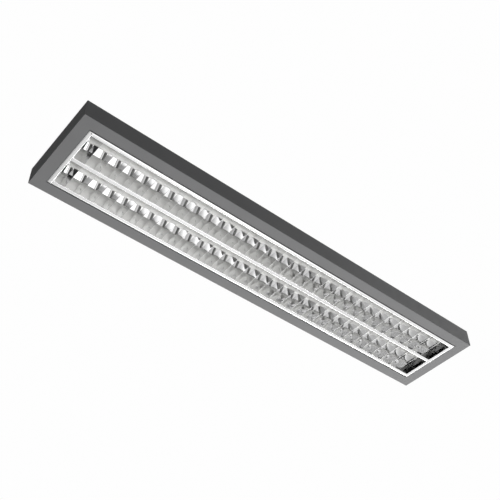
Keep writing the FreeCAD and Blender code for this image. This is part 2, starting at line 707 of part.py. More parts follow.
def arc_blade(frac):
    """Half width of the blade's outer face at a height fraction."""
    a, c, d = 0.3, 1.5, num(S["bladehalf"])
    h0, h1, h2 = num(S["bladelow"]), 18.4, num(S["bladetop"])
    h = h0 + frac * (h2 - h0)
    return a * (h - h1) * (h - h2) / ((h0 - h1) * (h0 - h2)) \
        + c * (h - h0) * (h - h2) / ((h1 - h0) * (h1 - h2)) \
        + d * (h - h0) * (h - h1) / ((h2 - h0) * (h2 - h1))


def blade_windows(body, sym, rev):
    """Windows in the side reflectors for the tabs of the blades."""
    s = new_sketch(body, "XZ_Plane")
    h0, h1 = 15.0, 23.0
    span0 = num(S["bladetop"]) - num(S["bladelow"])
    a = arc_blade((h0 - num(S["bladelow"])) / span0) + 0.2
    c = arc_blade((h1 - num(S["bladelow"])) / span0) + 0.2
    x0 = -num(span) / 2
    outline(s, [(x0 - a, bz + h0), (x0 + a, bz + h0), (x0 + c, bz + h1), (x0 - c, bz + h1)])
    f = grow(body, "Pocket", s, 200.0, sym=sym, rev=rev)
    repeat(body, f, "X_Axis", span, count)


# Side reflectors: outer flange, rail and mirror wall from one sheet.
fyn = num(FY)
for name, sg in (("near", -1), ("far", 1)):
    b = new_body("side_reflector_" + name)
    s = new_sketch(b, "YZ_Plane")
    p = [(fyn, bz), (fyn, bz + 8.0), (fyn - rs, bz + 8.0), (fyn - rs, bz + rs),
         (ry + rh + m, bz + rs),
         (ry + rt + m, bz + hu, ry + rm + m, bz + 18.24),
         (ry + rt, bz + hu),
         (ry + rh, bz, ry + rm, bz + 18.24)]
    outline(s, [tuple(v * sg if k % 2 == 0 else v for k, v in enumerate(q)) for q in p])
    grow(b, "Pad", s, sidehalf * 2)
    blade_windows(b, False, sg < 0)

# Middle double reflector: rail and both mirror walls from one sheet.
b = new_body("centre_reflector")
s = new_sketch(b, "YZ_Plane")
c0, cm, ct = ry - rh, ry - rm, ry - rt
outline(s, [(-c0, bz), (c0, bz), (ct, bz + hu, cm, bz + 18.24), (ct - m, bz + hu),
            (c0 - m, bz + rs, cm - m, bz + 18.24), (-c0 + m, bz + rs),
            (-ct + m, bz + hu, -cm + m, bz + 18.24), (-ct, bz + hu),
            (-c0, bz, -cm, bz + 18.24)][:-1] + [])
# the last arc closes the outline back to its first corner
s.delGeometry(s.GeometryCount - 1)
s.addGeometry(Part.Arc(V(-ct, bz + hu, 0), V(-cm, bz + 18.24, 0), V(-c0, bz, 0)), False)
grow(b, "Pad", s, sidehalf * 2)
blade_windows(b, True, False)

# End rails with their inner wall and outer flange.
for name, sg in (("left", -1), ("right", 1)):
    b = new_body("louvre_end_" + name)
    s = new_sketch(b, "XZ_Plane")
    xi, xo = num(inx), num(FX)
    p = [(xi, bz), (xo, bz), (xo, bz + 8.0), (xo - rs, bz + 8.0), (xo - rs, bz + rs),
         (xi + rs, bz + rs), (xi + rs, bz + num(S["endwall"])), (xi, bz + num(S["endwall"]))]
    outline(s, [(a * sg, c) for a, c in p])
    grow(b, "Pad", s, FY * 2)
    # the corners of the inner wall are cut back to clear the side reflectors' flanges
    s = new_sketch(b, "YZ_Plane", (inx - 1.0) * sg)
    rect(s, RY + RH + 1.0, FY + 1.0, -H + S["railsheet"], -H + 40.0)
    rect(s, -FY - 1.0, -RY - RH - 1.0, -H + S["railsheet"], -H + 40.0)
    grow(b, "Pocket", s, 2.4, sym=False, rev=(sg > 0))
    # hinge hole and the rivet holes
    s = new_sketch(b, "YZ_Plane", (FX - 3.0) * sg)
    hole(s, S["hingey"], up(S["hingeup"]), 1.55)
    grow(b, "Pocket", s, 6.0, sym=False, rev=(sg > 0))

# Hinge pins: shouldered rivets in the end flanges, near the far side.
for name, sg in (("left", -1), ("right", 1)):
    a, c = sorted((sg * (num(FX) - rs - 2.0), sg * (num(FX) - rs)))
    h = rod("pin_head_" + name, "X", 3.0, a, c, S["hingey"], up(S["hingeup"]))
    a, c = sorted((sg * (num(FX) - rs - 0.5), sg * (num(FX) + 4.0)))
    g = rod("pin_shank_" + name, "X", 1.52, a, c, S["hingey"], up(S["hingeup"]))
    fuse("hinge_pin_" + name, [h, g])

# Cross blades: V folded mirror strips with tabs through the side reflectors.
h0, h1, h2 = num(S["bladelow"]), 18.4, num(S["bladetop"])
bh, fo = num(S["bladehalf"]), num(S["bladefoil"])


def vec(a, h):
    return V(a, 0, bz + h)


edges = [
    Part.Arc(vec(-bh, h2), vec(-1.5, h1), vec(-0.3, h0)).toShape(),
    Part.makeLine(vec(-0.3, h0), vec(0.3, h0)),
    Part.Arc(vec(0.3, h0), vec(1.5, h1), vec(bh, h2)).toShape(),
    Part.makeLine(vec(bh, h2), vec(bh - fo, h2)),
    Part.Arc(vec(bh - fo, h2), vec(1.5 - fo, h1), vec(0.05, h0 + 1.0)).toShape(),
    Part.makeLine(vec(0.05, h0 + 1.0), vec(-0.05, h0 + 1.0)),
    Part.Arc(vec(-0.05, h0 + 1.0), vec(-1.5 + fo, h1), vec(-bh + fo, h2)).toShape(),
    Part.makeLine(vec(-bh + fo, h2), vec(-bh, h2)),
]
face = Part.Face(Part.Wire(edges))
vee = face.extrude(V(0, 78.0, 0))
vee.translate(V(0, -39.0, 0))
g = 0.12
cell = [
    Part.makeLine(V(-20, -rh + g, bz), V(-20, rh - g, bz)),
    Part.Arc(V(-20, rh - g, bz), V(-20, rm - g, bz + 18.24), V(-20, rt - g, bz + hu)).toShape(),
    Part.makeLine(V(-20, rt - g, bz + hu), V(-20, -rt + g, bz + hu)),
    Part.Arc(V(-20, -rt + g, bz + hu), V(-20, -rm + g, bz + 18.24), V(-20, -rh + g, bz)).toShape(),
]
cell = Part.Face(Part.Wire(cell)).extrude(V(40, 0, 0))
tabs = gbox(-20, 20, -rm - 1.9, rm + 1.9, bz + 15.2, bz + 22.8)
blade = vee.common(cell.fuse(tabs))
if len(blade.Solids) != 1:
    raise RuntimeError("a blade is not one solid")
blade = blade.Solids[0]
for row, sy in (("near", -1), ("far", 1)):
    out = []
    for k in range(int(num(count))):
        q = blade.copy()
        q.translate(V(-num(span) / 2 + k * num(pitch), sy * ry, 0))
        out.append(q)
    group("blades_" + row, out)

# Corner plates that join the rails, and their flush rivets.
plates, rivets = [], []
for sx in (-1, 1):
    for sy in (-1, 1):
        x0, x1 = sorted((sx * 556.0, sx * 587.0))
        y0, y1 = sorted((sy * 81.6, sy * 88.2))
        o = gbox(x0, x1, y0, y1, bz + rs + 0.05, bz + rs + 0.85)
        for px in (562.0, 573.0, 582.0):
            o = o.cut(grod("Z", 1.4, bz, bz + 3.0, sx * px, sy * 85.3))
            r = grod("Z", 1.35, bz + 0.05, bz + 2.1, sx * px, sy * 85.3)
            r = r.fuse(grod("Z", 2.1, bz + rs + 0.9, bz + rs + 1.7, sx * px, sy * 85.3))
            rivets.append(r.cut(grod("Z", 0.6, bz, bz + 1.4, sx * px, sy * 85.3)))
        plates.append(o)
group("corner_plates", plates)
group("corner_rivets", rivets)

# Spring catches: bowed leaf springs on the near flange of the louvre.
spr, lr = [], []
ya = -fyn - 0.05
for px in (-380.0, 380.0):
    pts = [V(px - 20, ya, 0), V(px - 14, ya, 0), V(px, ya - 1.9, 0), V(px + 14, ya, 0), V(px + 20, ya, 0)]
    q = [p + V(0, -0.4, 0) for p in pts]
    w = Part.Wire([Part.makeLine(pts[0], pts[1]), Part.Arc(pts[1], pts[2], pts[3]).toShape(),
                   Part.makeLine(pts[3], pts[4]), Part.makeLine(pts[4], q[4]),
                   Part.makeLine(q[4], q[3]), Part.Arc(q[3], q[2], q[1]).toShape(),
                   Part.makeLine(q[1], q[0]), Part.makeLine(q[0], pts[0])])
    w.translate(V(0, 0, bz + 1.6))
    o = Part.Face(w).extrude(V(0, 0, 5.8))
    for d in (-17.0, 17.0):
        o = o.cut(grod("Y", 1.0, ya - 3.0, ya + 3.0, px + d, bz + 4.5))
        r = grod("Y", 0.95, ya - 0.9, ya + 1.2, px + d, bz + 4.5)
        r = r.fuse(grod("Y", 1.7, ya - 0.9, ya - 0.45, px + d, bz + 4.5))
        r = r.fuse(grod("Y", 1.6, -fyn + rs + 0.05, -fyn + rs + 0.6, px + d, bz + 4.5))
        lr.append(r)
    spr.append(o)
group("catch_springs", spr)
group("catch_rivets", lr)

# Holes in the rails for the rivets.
rails = dict(parts)
for name, sg in (("near", -1), ("far", 1)):
    b = rails["side_reflector_" + name]
    s = new_sketch(b, "XY_Plane", -H - 1.0)
    for sx in (-1, 1):
        for px in (562.0, 573.0):
            hole(s, sx * px, sg * 85.3, 1.4)
    grow(b, "Pocket", s, 3.0, sym=False, rev=True)
    if sg < 0:
        s = new_sketch(b, "XZ_Plane", FY + 1.0)
        for px in (-380.0, 380.0):
            for d in (-17.0, 17.0):
                hole(s, px + d, bz + 4.5, 1.0)
        grow(b, "Pocket", s, 3.0, sym=False)
for name, sg in (("left", -1), ("right", 1)):
    b = rails["louvre_end_" + name]
    s = new_sketch(b, "XY_Plane", -H - 1.0)
    for sy in (-1, 1):
        hole(s, sg * 582.0, sy * 85.3, 1.4)
    grow(b, "Pocket", s, 3.0, sym=False, rev=True)

# ======================= check and write ==================================

doc.recompute()
for o in doc.Objects:
    if "Invalid" in o.State or "Error" in o.State:
        raise RuntimeError("failed object: " + o.Label)
os.makedirs("parts", exist_ok=True)
for label, o in parts:
    if o.Shape.isNull() or not o.Shape.isValid():
        raise RuntimeError("bad shape: " + label)
    if not o.Shape.Solids:
        raise RuntimeError("no solid: " + label)
for label, o in parts:
    o.Shape.exportStep("parts/%s.step" % label)
print("wrote", len(parts), "nodes")
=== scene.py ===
import json
import math
import random

import bpy
from mathutils import Matrix, Vector


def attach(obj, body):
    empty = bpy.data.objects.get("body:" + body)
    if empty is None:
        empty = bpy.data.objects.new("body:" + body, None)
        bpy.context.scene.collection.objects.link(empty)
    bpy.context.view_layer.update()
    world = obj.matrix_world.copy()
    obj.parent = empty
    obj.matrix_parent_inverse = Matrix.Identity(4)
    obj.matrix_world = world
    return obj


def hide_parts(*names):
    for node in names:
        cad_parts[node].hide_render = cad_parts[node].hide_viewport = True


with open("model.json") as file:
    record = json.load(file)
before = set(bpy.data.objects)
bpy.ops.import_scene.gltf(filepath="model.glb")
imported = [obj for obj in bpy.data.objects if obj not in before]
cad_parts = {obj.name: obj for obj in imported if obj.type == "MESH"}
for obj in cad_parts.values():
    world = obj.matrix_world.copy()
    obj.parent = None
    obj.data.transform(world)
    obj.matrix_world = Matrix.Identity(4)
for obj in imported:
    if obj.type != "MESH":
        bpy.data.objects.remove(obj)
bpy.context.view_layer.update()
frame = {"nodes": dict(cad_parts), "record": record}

random.seed(7)
MM = 0.001
H = 50.0                       # luminaire height, mm; "up" is measured from the light opening
N = frame["nodes"]
scene = bpy.context.scene

# ---------------------------------------------------------------- sizes, mm
ROWY = 42.43
ROWHALF, ROWMID, ROWTOP = 37.33, 35.03, 30.3
REFLUP, MIDUP = 36.0, 18.24
PITCH, BLADES = 37.82, 30
BLOW, BMID, BTOP = 5.0, 18.4, 31.8
SIDEX = 578.9


def quad_through(p0, p1, p2):
    """The parabola v(u) through three points (u, v)."""
    (a, va), (b, vb), (c, vc) = p0, p1, p2

    def f(u):
        return (va * (u - b) * (u - c) / ((a - b) * (a - c))
                + vb * (u - a) * (u - c) / ((b - a) * (b - c))
                + vc * (u - a) * (u - b) / ((c - a) * (c - b)))
    return f


wall_at = quad_through((0.0, ROWHALF), (MIDUP, ROWMID), (REFLUP, ROWTOP))
blade_at = quad_through((BLOW, 0.3), (BMID, 1.5), (BTOP, 3.5))


# ---------------------------------------------------------------- materials
def material(name):
    m = bpy.data.materials.new(name)
    m.use_nodes = True
    nt = m.node_tree
    return m, nt, nt.nodes["Principled BSDF"]


def node(nt, kind, **values):
    n = nt.nodes.new(kind)
    for k, v in values.items():
        if k in n.inputs:
            n.inputs[k].default_value = v
        else:
            setattr(n, k, v)
    return n


def coords(nt, scale=(1, 1, 1)):
    tc = node(nt, "ShaderNodeTexCoord")
    mp = node(nt, "ShaderNodeMapping")
    mp.inputs["Scale"].default_value = scale
    nt.links.new(tc.outputs["Object"], mp.inputs["Vector"])
    return mp.outputs["Vector"]


def noise(nt, vec, scale, detail=3.0, rough=0.5):
    n = node(nt, "ShaderNodeTexNoise", Scale=scale, Detail=detail, Roughness=rough)
    nt.links.new(vec, n.inputs["Vector"])
    return n.outputs["Fac"]


def ramp(nt, fac, stops):
    r = node(nt, "ShaderNodeValToRGB")
    els = r.color_ramp.elements
    els[0].position, els[0].color = stops[0][0], tuple(stops[0][1]) + (1,)
    els[1].position, els[1].color = stops[-1][0], tuple(stops[-1][1]) + (1,)
    for p, c in stops[1:-1]:
        e = els.new(p)
        e.color = tuple(c) + (1,)
    nt.links.new(fac, r.inputs["Fac"])
    return r.outputs["Color"]


def remap(nt, fac, lo, hi, a=0.3, b=0.7):
    r = node(nt, "ShaderNodeMapRange")
    r.inputs["From Min"].default_value = a
    r.inputs["From Max"].default_value = b
    r.inputs["To Min"].default_value = lo
    r.inputs["To Max"].default_value = hi
    nt.links.new(fac, r.inputs["Value"])
    return r.outputs["Result"]


def bump(nt, bsdf, height, strength, dist, prev=None):
    b = node(nt, "ShaderNodeBump")
    b.inputs["Strength"].default_value = strength
    b.inputs["Distance"].default_value = dist
    nt.links.new(height, b.inputs["Height"])
    if prev is not None:
        nt.links.new(prev, b.inputs["Normal"])
    nt.links.new(b.outputs["Normal"], bsdf.inputs["Normal"])
    return b.outputs["Normal"]


def mottled(nt, vec, scale, c0, c1, detail=4.0):
    return ramp(nt, noise(nt, vec, scale, detail), [(0.3, c0), (0.7, c1)])


def paint_material(name, c0, c1, rough=(0.40, 0.48), grain=0.12):
    """Powder coat: fine orange peel, slightly uneven sheen."""
    m, nt, b = material(name)
    v = coords(nt)
    nt.links.new(mottled(nt, v, 9.0, c0, c1), b.inputs["Base Color"])
    nt.links.new(remap(nt, noise(nt, v, 35.0), rough[0], rough[1]), b.inputs["Roughness"])
    n1 = bump(nt, b, noise(nt, v, 420.0, 2.0), grain, 0.0004)
    bump(nt, b, noise(nt, v, 1600.0, 1.0), grain * 0.5, 0.0002, n1)
    b.inputs["Specular IOR Level"].default_value = 0.5
    return m


def metal_material(name, c0, c1, rough=(0.08, 0.12), streak=(1, 60, 60), scale=12.0, grain=0.03, dist=0.0002,
                   fine=900.0):
    """Rolled or anodised sheet: streaks along the rolling direction."""
    m, nt, b = material(name)
    b.inputs["Metallic"].default_value = 1.0
    v = coords(nt, streak)
    nt.links.new(mottled(nt, v, scale, c0, c1), b.inputs["Base Color"])
    nt.links.new(remap(nt, noise(nt, v, scale * 2.3, 5.0), rough[0], rough[1]), b.inputs["Roughness"])
    if grain:
        bump(nt, b, noise(nt, coords(nt, (0.04, 1, 1) if streak[0] < streak[1] else (1, 1, 1)), fine, 2.0), grain, dist)
    return m


def plastic_material(name, c0, c1, rough=(0.35, 0.45), grain=0.05, fine=900.0, spec=0.5):
    m, nt, b = material(name)
    v = coords(nt)
    nt.links.new(mottled(nt, v, 60.0, c0, c1), b.inputs["Base Color"])
    nt.links.new(remap(nt, noise(nt, v, 150.0), rough[0], rough[1]), b.inputs["Roughness"])
    bump(nt, b, noise(nt, v, fine, 2.0), grain, 0.0002)
    b.inputs["Specular IOR Level"].default_value = spec
    return m


def grey(v, warm=0.0):
    return (v * (1 + warm), v, v * (1 - warm))


paint = paint_material("anthracite_powder_coat", (0.088, 0.089, 0.090), (0.099, 0.099, 0.101))
mirror = metal_material("louvre_mirror_sheet", grey(0.84), grey(0.88), rough=(0.035, 0.055), grain=0.02)
topmirror = metal_material("top_mirror_sheet", grey(0.84), grey(0.88), rough=(0.04, 0.06), grain=0.02)
lampwhite = plastic_material("phosphor_glass", (0.74, 0.74, 0.72), (0.77, 0.77, 0.75), rough=(0.08, 0.12), grain=0.0)
zinc = metal_material("zinc_plate", grey(0.55), grey(0.66), rough=(0.28, 0.4), streak=(1, 1, 1), scale=140.0)
bright = metal_material("bright_zinc", grey(0.62), grey(0.72), rough=(0.18, 0.28), streak=(1, 1, 1), scale=160.0)
satin = metal_material("satin_aluminium", grey(0.62), grey(0.72), rough=(0.22, 0.32), streak=(1, 1, 1), scale=120.0)
spring = metal_material("spring_steel", grey(0.45), grey(0.55), rough=(0.2, 0.3), streak=(1, 1, 1), scale=120.0)
brass = metal_material("brass", (0.72, 0.52, 0.22), (0.80, 0.60, 0.28), rough=(0.2, 0.3), streak=(1, 1, 1), scale=150.0)
tinned = metal_material("tinned_metal", grey(0.60), grey(0.70), rough=(0.25, 0.35), streak=(1, 1, 1), scale=150.0)
electrode = metal_material("electrode_metal", grey(0.25), grey(0.35), rough=(0.35, 0.5), streak=(1, 1, 1), scale=200.0)
white = plastic_material("white_moulding", (0.74, 0.74, 0.71), (0.80, 0.80, 0.77))
black = plastic_material("black_moulding", (0.012, 0.012, 0.013), (0.022, 0.022, 0.024))
board = plastic_material("green_laminate", (0.02, 0.09, 0.04), (0.03, 0.12, 0.055), rough=(0.3, 0.4))
rubber = plastic_material("black_rubber", (0.010, 0.010, 0.010), (0.020, 0.020, 0.020), rough=(0.6, 0.75), grain=0.15)
gearwhite = paint_material("white_gear_paint", (0.62, 0.62, 0.60), (0.68, 0.68, 0.66), rough=(0.32, 0.4), grain=0.08)
backside = metal_material("mill_finish_back", grey(0.84), grey(0.90), rough=(0.42, 0.52), streak=(1, 1, 1), scale=90.0)
backside.node_tree.nodes["Principled BSDF"].inputs["Metallic"].default_value = 0.05


def rivet_material():
    """Flush aluminium rivets; the one at the near left corner is coloured dark grey."""
    m, nt, b = material("flush_rivets")
    v = coords(nt)
    sep = node(nt, "ShaderNodeSeparateXYZ")
    nt.links.new(v, sep.inputs[0])
    left = node(nt, "ShaderNodeMath", operation="LESS_THAN")
    left.inputs[1].default_value = -0.578
    nt.links.new(sep.outputs["X"], left.inputs[0])
    near = node(nt, "ShaderNodeMath", operation="LESS_THAN")
    near.inputs[1].default_value = 0.0
    nt.links.new(sep.outputs["Y"], near.inputs[0])
    both = node(nt, "ShaderNodeMath", operation="MULTIPLY")
    nt.links.new(left.outputs[0], both.inputs[0])
    nt.links.new(near.outputs[0], both.inputs[1])
    mx = node(nt, "ShaderNodeMixRGB", blend_type="MIX")
    nt.links.new(both.outputs[0], mx.inputs["Fac"])
    nt.links.new(mottled(nt, v, 300.0, grey(0.70), grey(0.82)), mx.inputs["Color1"])
    nt.links.new(mottled(nt, v, 300.0, grey(0.05), grey(0.10)), mx.inputs["Color2"])
    nt.links.new(mx.outputs["Color"], b.inputs["Base Color"])
    nt.links.new(remap(nt, noise(nt, v, 200.0), 0.25, 0.4), b.inputs["Roughness"])
    b.inputs["Metallic"].default_value = 1.0
    return m


rivet_finish = rivet_material()
# Inner end walls of the louvre: dark metal standing in for the shade at both louvre ends (painted shade).
end_wall_painted_shade = metal_material("end_wall_dark_painted_shade", grey(0.20), grey(0.28), rough=(0.06, 0.10), streak=(1, 1, 1), scale=60.0, grain=0.02)
w_white = plastic_material("white_insulation", (0.66, 0.66, 0.63), (0.72, 0.72, 0.69), rough=(0.3, 0.4))
w_brown = plastic_material("brown_insulation", (0.10, 0.035, 0.014), (0.13, 0.045, 0.02), rough=(0.3, 0.4))
w_blue = plastic_material("blue_insulation", (0.012, 0.06, 0.30), (0.02, 0.08, 0.36), rough=(0.3, 0.4))

m, nt, b = material("green_yellow_insulation")
v = coords(nt)
wv = node(nt, "ShaderNodeTexWave", Scale=60.0, Distortion=0.4)
wv.bands_direction = "DIAGONAL"
nt.links.new(v, wv.inputs["Vector"])
nt.links.new(ramp(nt, wv.outputs["Fac"], [(0.45, (0.60, 0.52, 0.03)), (0.55, (0.03, 0.22, 0.05))]), b.inputs["Base Color"])
b.inputs["Roughness"].default_value = 0.35
w_green = m

SLOT = {
    "housing_paint": paint, "louvre_alu": mirror, "mirror_alu": topmirror, "rivet_alu": satin,
    "lamp_glass": lampwhite, "cap_alu": satin, "electrode": electrode, "brass": brass, "tinned": tinned,
    "zinc": zinc, "zinc_bright": bright, "spring_steel": spring, "white_plastic": white,
    "black_plastic": black, "gear_white": gearwhite, "board": board, "rubber": rubber,
    "wire_white": w_white, "wire_brown": w_brown, "wire_blue": w_blue, "wire_green": w_green,
}
for sp in frame["record"]["subparts"]:
    o = N[sp["node"]]
    o.data.materials.clear()
    o.data.materials.append(SLOT[sp["material_slot"]])
N["corner_rivets"].data.materials[0] = rivet_finish


# ---------------------------------------------------------------- mesh tools
def make(name, verts, faces, mat, body, replaces=(), smooth=30.0, second=None):
    """second is (material, test of a face's corner list) for the faces with another finish."""
    me = bpy.data.meshes.new(name)
    me.from_pydata([tuple(c * MM for c in p) for p in verts], [], faces)
    me.materials.append(mat)
    if second:
        me.materials.append(second[0])
        for poly in me.polygons:
            if second[1](poly.index, [verts[i] for i in poly.vertices]):
                poly.material_index = 1
    me.validate()
    if smooth:
        me.polygons.foreach_set("use_smooth", [True] * len(me.polygons))
        me.set_sharp_from_angle(angle=math.radians(smooth))
    o = bpy.data.objects.new(name, me)
    scene.collection.objects.link(o)
    if replaces:
        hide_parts(*replaces)
    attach(o, body)
    return o


def fillet_line(pts, r, steps=4):
    """A polyline with its marked corners rounded. A point is (u, v) or (u, v, radius)."""
    out = [pts[0][:2]]
    for i in range(1, len(pts) - 1):
        p = pts[i]
        rad = p[2] if len(p) > 2 else 0.0
        if not rad:
            out.append(p[:2])
            continue
        a, c, q = Vector(pts[i - 1][:2]), Vector(p[:2]), Vector(pts[i + 1][:2])
        d0, d1 = (a - c).normalized(), (q - c).normalized()
        ang = d0.angle(d1)
        t = rad / math.tan(ang / 2)
        t = min(t, 0.49 * (a - c).length, 0.49 * (q - c).length)
        rr = t * math.tan(ang / 2)
        m = (d0 + d1).normalized()
        centre = c + m * (rr / math.sin(ang / 2))
        s0, s1 = c + d0 * t - centre, c + d1 * t - centre
        a0 = math.atan2(s0.y, s0.x)
        a1 = math.atan2(s1.y, s1.x)
        da = (a1 - a0 + math.pi) % (2 * math.pi) - math.pi
        for k in range(steps + 1):
            w = a0 + da * k / steps
            out.append((centre.x + rr * math.cos(w), centre.y + rr * math.sin(w)))
    out.append(pts[-1][:2])
    return out


def offset_line(line, t):
    """The line moved sideways by t, to its left."""
    out = []
    for i, p in enumerate(line):
        a = Vector(line[max(i - 1, 0)])
        c = Vector(line[min(i + 1, len(line) - 1)])
        q = Vector(p)
        d0 = (q - a) if i else (c - q)
        d1 = (c - q) if i < len(line) - 1 else (q - a)
        n0 = Vector((-d0.y, d0.x)).normalized()
        n1 = Vector((-d1.y, d1.x)).normalized()
        m = (n0 + n1).normalized()
        k = t / max(0.3, m.dot(n0))
        out.append((q.x + m.x * k, q.y + m.y * k))
    return out


def sheet_piece(line, thick, stations, place, holes=()):
    """A folded sheet: a profile line and its offset, drawn through the stations.
    holes are (first segment, last segment, first station, last station)."""
    other = offset_line(line, thick)
    n, k = len(line), len(stations)
    verts, faces = [], []
    for s in stations:
        verts += [place(p, s) for p in line]
        verts += [place(p, s) for p in other]

    def a(i, j):
        return j * 2 * n + i

    def b(i, j):
        return j * 2 * n + n + i
    open_cells = set()
    for i0, i1, j0, j1 in holes:
        for i in range(i0, i1):
            for j in range(j0, j1):
                open_cells.add((i, j))
    for j in range(k - 1):
        for i in range(n - 1):
            if (i, j) in open_cells:
                for (di, dj, p, q) in ((-1, 0, (i, j), (i, j + 1)), (1, 0, (i + 1, j + 1), (i + 1, j)),
                                       (0, -1, (i + 1, j), (i, j)), (0, 1, (i, j + 1), (i + 1, j + 1))):
                    if (i + di, j + dj) not in open_cells:
                        faces.append((a(*p), a(*q), b(*q), b(*p)))
                continue
            faces.append((a(i, j), a(i + 1, j), a(i + 1, j + 1), a(i, j + 1)))
            faces.append((b(i, j), b(i, j + 1), b(i + 1, j + 1), b(i + 1, j)))
    for j in range(k - 1):
        faces.append((a(0, j), a(0, j + 1), b(0, j + 1), b(0, j)))
        faces.append((a(n - 1, j), b(n - 1, j), b(n - 1, j + 1), a(n - 1, j + 1)))
    for i in range(n - 1):
        faces.append((a(i, 0), b(i, 0), b(i + 1, 0), a(i + 1, 0)))
        faces.append((a(i, k - 1), a(i + 1, k - 1), b(i + 1, k - 1), b(i, k - 1)))
    return verts, faces


def add(target, part):
    v, f = part
    base = len(target[0])
    target[0].extend(v)
    target[1].extend([tuple(i + base for i in q) for q in f])


# ---------------------------------------------------------------- louvre
XB = [-(BLADES - 1) * PITCH / 2 + k * PITCH for k in range(BLADES)]
WIN = blade_at(19.0) + 0.35          # half width of a window for a blade's tab
stations = [-SIDEX]
for x in XB:
    stations += [x - WIN, x + WIN]
stations.append(SIDEX)
heights = [0.0] + [REFLUP * i / 24.0 for i in range(1, 25)]
heights = sorted(set(heights + [15.0, 23.0]))


def at_row(sg):
    return lambda p, s: (s, sg * p[0], p[1] - H)


def window_rows(line, h0=15.0, h1=23.0, side=1):
    idx = [i for i, p in enumerate(line) if abs(p[1] - h0) < 1e-6 or abs(p[1] - h1) < 1e-6]
    return idx


for name, sg in (("near", -1), ("far", 1)):
    pts = [(89.3, 8.0), (89.3, 0.3, 0.9), (ROWY + ROWHALF + 0.12, 0.3)]
    foot = fillet_line(pts, 0.9)
    wall = [(ROWY + wall_at(h) + 0.25, h) for h in heights if h > 0.9]
    knee = fillet_line([(ROWY + ROWHALF + 3.0, 0.3), (ROWY + ROWHALF + 0.2, 0.3, 0.7), wall[0]], 0.7)
    line = foot[:-1] + knee + wall[1:]
    line = [Vector(p) for p in line]
    line = [tuple(p) for p in line]
    lo = min(i for i, p in enumerate(line) if abs(p[1] - 15.0) < 1e-6)
    hi = min(i for i, p in enumerate(line) if abs(p[1] - 23.0) < 1e-6)
    centre = offset_line(line, -0.30)
    holes = [(lo, hi, 1 + 2 * k, 2 + 2 * k) for k in range(BLADES)]
    v, f = sheet_piece(centre, 0.50, stations, at_row(sg), holes)
    if sg < 0:
        f = [tuple(reversed(q)) for q in f]
    make("louvre_side_" + name, v, f, mirror, "louvre", ["side_reflector_" + name], smooth=32.0)

c_at = [(ROWY - wall_at(h) - 0.25, h) for h in heights if h > 0.9]
left = [(-y, h) for y, h in reversed(c_at)]
bend0 = fillet_line([left[-1], (-(ROWY - ROWHALF - 0.25), 0.3, 0.7), (-2.0, 0.3)], 0.7)
bend1 = fillet_line([(2.0, 0.3), (ROWY - ROWHALF - 0.25, 0.3, 0.7), c_at[0]], 0.7)
line = left[:-1] + bend0 + bend1 + c_at[1:]
rows_lo = [i for i, p in enumerate(line) if abs(p[1] - 15.0) < 1e-6]
rows_hi = [i for i, p in enumerate(line) if abs(p[1] - 23.0) < 1e-6]
holes = []
for k in range(BLADES):
    holes.append((rows_hi[0], rows_lo[0], 1 + 2 * k, 2 + 2 * k))
    holes.append((rows_lo[1], rows_hi[1], 1 + 2 * k, 2 + 2 * k))
v, f = sheet_piece(offset_line(line, -0.25), 0.5, stations, at_row(1), holes)
make("louvre_centre", v, f, mirror, "louvre", ["centre_reflector"], smooth=32.0)

for name, sg in (("left", -1), ("right", 1)):
    pts = [(588.7, 8.0), (588.7, 0.3, 0.9), (586.4, 0.3), (582.6, 0.3), (581.4, 0.3), (579.3, 0.3, 0.7), (579.3, 27.5)]
    line = fillet_line(pts, 0.9)
    cut = [i for i, p in enumerate(line) if p[0] < 579.31 and p[1] > 0.3][0]
    bore = [i for i, p in enumerate(line) if abs(p[0] - 582.6) < 1e-6][0]      # under the hollow rivets
    ys = [-89.6, -85.9, -84.7, -80.77, -40.0, 0.0, 40.0, 80.77, 84.7, 85.9, 89.6]
    holes = [(cut, len(line) - 1, 0, 3), (cut, len(line) - 1, 7, 10), (bore, bore + 1, 1, 2), (bore, bore + 1, 8, 9)]
    v, f = sheet_piece(offset_line(line, -0.3), 0.5, ys, lambda p, s, sg=sg: (sg * p[0], s, p[1] - H), holes)
    if sg > 0:
        f = [tuple(reversed(q)) for q in f]
    # The inner end-wall faces take the dark end-wall metal: painted shade at the louvre ends.
    make("louvre_rail_end_" + name, v, f, mirror, "louvre", ["louvre_end_" + name], smooth=32.0,
         second=(end_wall_painted_shade, lambda i, c: all(abs(p[0]) < 580.0 and p[2] + H > 0.8 for p in c)))


back_faces = set()
blade_base = [0]


